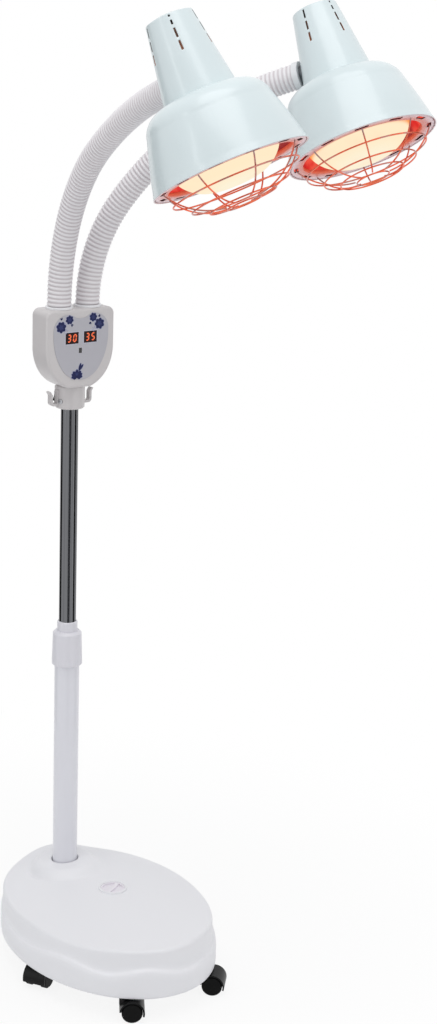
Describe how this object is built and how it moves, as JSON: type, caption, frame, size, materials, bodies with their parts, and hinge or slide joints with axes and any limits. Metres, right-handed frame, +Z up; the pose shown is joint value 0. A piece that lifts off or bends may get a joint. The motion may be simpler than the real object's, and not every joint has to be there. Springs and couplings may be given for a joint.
{
  "type": "infrared heat therapy lamp",
  "caption": "Rolling floor lamp for heat therapy: castered ballasted base, telescopic column, control box and bendable hose arms carrying shaded reflector lamps behind wire guards.",
  "frame": {"origin": "on the floor, on the column's axis", "axes": "+X to the front, where the fascia and the lamp heads face; +Z up the column; +Y to the right arm's side"},
  "size_m": [0.5178, 0.4085, 1.2199],
  "materials": {
    "base_plastic": "satin",
    "ballast": "matte",
    "caster_black": "gloss",
    "caster_tread": "satin",
    "steel": "satin",
    "seal_rubber": "matte",
    "plug_plastic": "satin",
    "pole_paint": "gloss",
    "collar_plastic": "gloss",
    "bush_plastic": "satin",
    "pole_chrome": "polished",
    "box_plastic": "gloss",
    "fascia": "satin",
    "display": "gloss",
    "window": "gloss",
    "board": "satin",
    "switch_black": "gloss",
    "hose_white": "satin",
    "socket_white": "gloss",
    "shade_paint": "gloss",
    "trim_paint": "gloss",
    "holder_ceramic": "satin",
    "bulb_glass": "gloss",
    "guard_wire": "polished"
  },
  "bodies": {
    "base": {"base_shell": "base_plastic", "ballast_fill": "ballast", "filler_seal": "seal_rubber", "pole_foot_plug": "plug_plastic", "pole_bolt": "steel", "lower_pole": "pole_paint", "collar_insert": "bush_plastic"},
    "filler": {"filler_plug": "base_plastic"},
    "lock": {"lock_collar": "collar_plastic"},
    "mast_slide": {"guide_bush": "bush_plastic"},
    "mast": {"upper_pole": "pole_chrome", "neck_sleeve": "box_plastic", "cord_hooks": "box_plastic", "switch_frame": "switch_black", "box_front": "box_plastic", "box_rear": "box_plastic", "fascia_panel": "fascia", "display_left": "display", "display_right": "display", "receiver_window": "window", "control_board": "board", "case_screws": "steel", "cable_gland": "seal_rubber", "hose_socket_left": "socket_white", "hose_socket_right": "socket_white"},
    "rocker": {"switch_rocker": "switch_black"},
    "caster_1": {"caster_1_hood": "caster_black", "caster_1_pins": "steel"},
    "caster_1_roll": {"caster_1_wheels": "caster_tread"},
    "caster_2": {"caster_2_hood": "caster_black", "caster_2_pins": "steel"},
    "caster_2_roll": {"caster_2_wheels": "caster_tread"},
    "caster_3": {"caster_3_hood": "caster_black", "caster_3_pins": "steel"},
    "caster_3_roll": {"caster_3_wheels": "caster_tread"},
    "caster_4": {"caster_4_hood": "caster_black", "caster_4_pins": "steel"},
    "caster_4_roll": {"caster_4_wheels": "caster_tread"},
    "caster_5": {"caster_5_hood": "caster_black", "caster_5_pins": "steel"},
    "caster_5_roll": {"caster_5_wheels": "caster_tread"},
    "arm_low_left": {"hose_low_left": "hose_white"},
    "arm_middle_left": {"hose_middle_left": "hose_white"},
    "arm_tip_left": {"hose_tip_left": "hose_white", "hose_cap_left": "steel"},
    "head_left": {"shade_left": "shade_paint", "trim_ring_left": "trim_paint", "lampholder_left": "holder_ceramic", "bulb_left": "bulb_glass", "guard_left": "guard_wire"},
    "arm_low_right": {"hose_low_right": "hose_white"},
    "arm_middle_right": {"hose_middle_right": "hose_white"},
    "arm_tip_right": {"hose_tip_right": "hose_white", "hose_cap_right": "steel"},
    "head_right": {"shade_right": "shade_paint", "trim_ring_right": "trim_paint", "lampholder_right": "holder_ceramic", "bulb_right": "bulb_glass", "guard_right": "guard_wire"}
  },
  "joints": [
    {"name": "filler_turn", "type": "hinge", "parent": "base", "child": "filler", "pos_m": [0.097, 0.012, 0.093], "axis": [0, 0, 1], "range_deg": [0, 90]},
    {"name": "lock_turn", "type": "hinge", "parent": "base", "child": "lock", "pos_m": [0, 0, 0.378], "axis": [0, 0, 1], "range_deg": [0, 120]},
    {"name": "mast_height", "type": "slide", "parent": "base", "child": "mast_slide", "axis": [0, 0, 1], "range_m": [-0.2, 0.06]},
    {"name": "mast_swivel", "type": "hinge", "parent": "mast_slide", "child": "mast", "pos_m": [0, 0, 0.287], "axis": [0, 0, 1], "range_deg": [-180, 180]},
    {"name": "power_rocker", "type": "hinge", "parent": "mast", "child": "rocker", "pos_m": [-0.01273, -0.01273, 0.73], "axis": [0.7071, -0.7071, 0], "range_deg": [0, 20]},
    {"name": "caster_1_swivel", "type": "hinge", "parent": "base", "child": "caster_1", "pos_m": [0.237, -0.062, 0.054], "axis": [0, 0, 1], "continuous": true},
    {"name": "caster_1_roll", "type": "hinge", "parent": "caster_1", "child": "caster_1_roll", "pos_m": [0.2419, -0.05445, 0.013], "axis": [0.8387, -0.5446, 0], "continuous": true},
    {"name": "caster_2_swivel", "type": "hinge", "parent": "base", "child": "caster_2", "pos_m": [0.237, 0.062, 0.054], "axis": [0, 0, 1], "continuous": true},
    {"name": "caster_2_roll", "type": "hinge", "parent": "caster_2", "child": "caster_2_roll", "pos_m": [0.24314, 0.06858, 0.013], "axis": [0.7314, -0.682, 0], "continuous": true},
    {"name": "caster_3_swivel", "type": "hinge", "parent": "base", "child": "caster_3", "pos_m": [0.106, 0.099, 0.054], "axis": [0, 0, 1], "continuous": true},
    {"name": "caster_3_roll", "type": "hinge", "parent": "caster_3", "child": "caster_3_roll", "pos_m": [0.11446, 0.10208, 0.013], "axis": [0.342, -0.9397, 0], "continuous": true},
    {"name": "caster_4_swivel", "type": "hinge", "parent": "base", "child": "caster_4", "pos_m": [-0.042, 0, 0.054], "axis": [0, 0, 1], "continuous": true},
    {"name": "caster_4_roll", "type": "hinge", "parent": "caster_4", "child": "caster_4_roll", "pos_m": [-0.04979, -0.0045, 0.013], "axis": [-0.5, 0.866, 0], "continuous": true},
    {"name": "caster_5_swivel", "type": "hinge", "parent": "base", "child": "caster_5", "pos_m": [0.106, -0.099, 0.054], "axis": [0, 0, 1], "continuous": true},
    {"name": "caster_5_roll", "type": "hinge", "parent": "caster_5", "child": "caster_5_roll", "pos_m": [0.1105, -0.10679, 0.013], "axis": [-0.866, -0.5, 0], "continuous": true},
    {"name": "arm_turn_left", "type": "hinge", "parent": "mast", "child": "arm_low_left", "pos_m": [0.006, -0.0205, 0.8469], "axis": [0, 0, 1], "range_deg": [-60, 6]},
    {"name": "arm_low_bend_left", "type": "hinge", "parent": "arm_low_left", "child": "arm_middle_left", "pos_m": [0.04524, -0.02497, 0.98023], "axis": [0.1132, 0.9936, 0], "range_deg": [-25, 25]},
    {"name": "arm_high_bend_left", "type": "hinge", "parent": "arm_middle_left", "child": "arm_tip_left", "pos_m": [0.193, -0.04181, 1.09548], "axis": [0.1132, 0.9936, 0], "range_deg": [-30, 30]},
    {"name": "head_turn_left", "type": "hinge", "parent": "arm_tip_left", "child": "head_left", "pos_m": [0.28351, -0.05212, 1.12769], "axis": [0.9628, -0.1097, 0.247], "range_deg": [-30, 30]},
    {"name": "arm_turn_right", "type": "hinge", "parent": "mast", "child": "arm_low_right", "pos_m": [0.006, 0.0205, 0.8469], "axis": [0, 0, 1], "range_deg": [-6, 60]},
    {"name": "arm_low_bend_right", "type": "hinge", "parent": "arm_low_right", "child": "arm_middle_right", "pos_m": [0.01863, 0.02879, 0.92654], "axis": [-0.549, 0.8358, 0], "range_deg": [-25, 25]},
    {"name": "arm_high_bend_right", "type": "hinge", "parent": "arm_middle_right", "child": "arm_tip_right", "pos_m": [0.12216, 0.0968, 1.07201], "axis": [-0.549, 0.8358, 0], "range_deg": [-30, 30]},
    {"name": "head_turn_right", "type": "hinge", "parent": "arm_tip_right", "child": "head_right", "pos_m": [0.22561, 0.16476, 1.13399], "axis": [0.7976, 0.5239, 0.299], "range_deg": [-30, 30]}
  ]
}
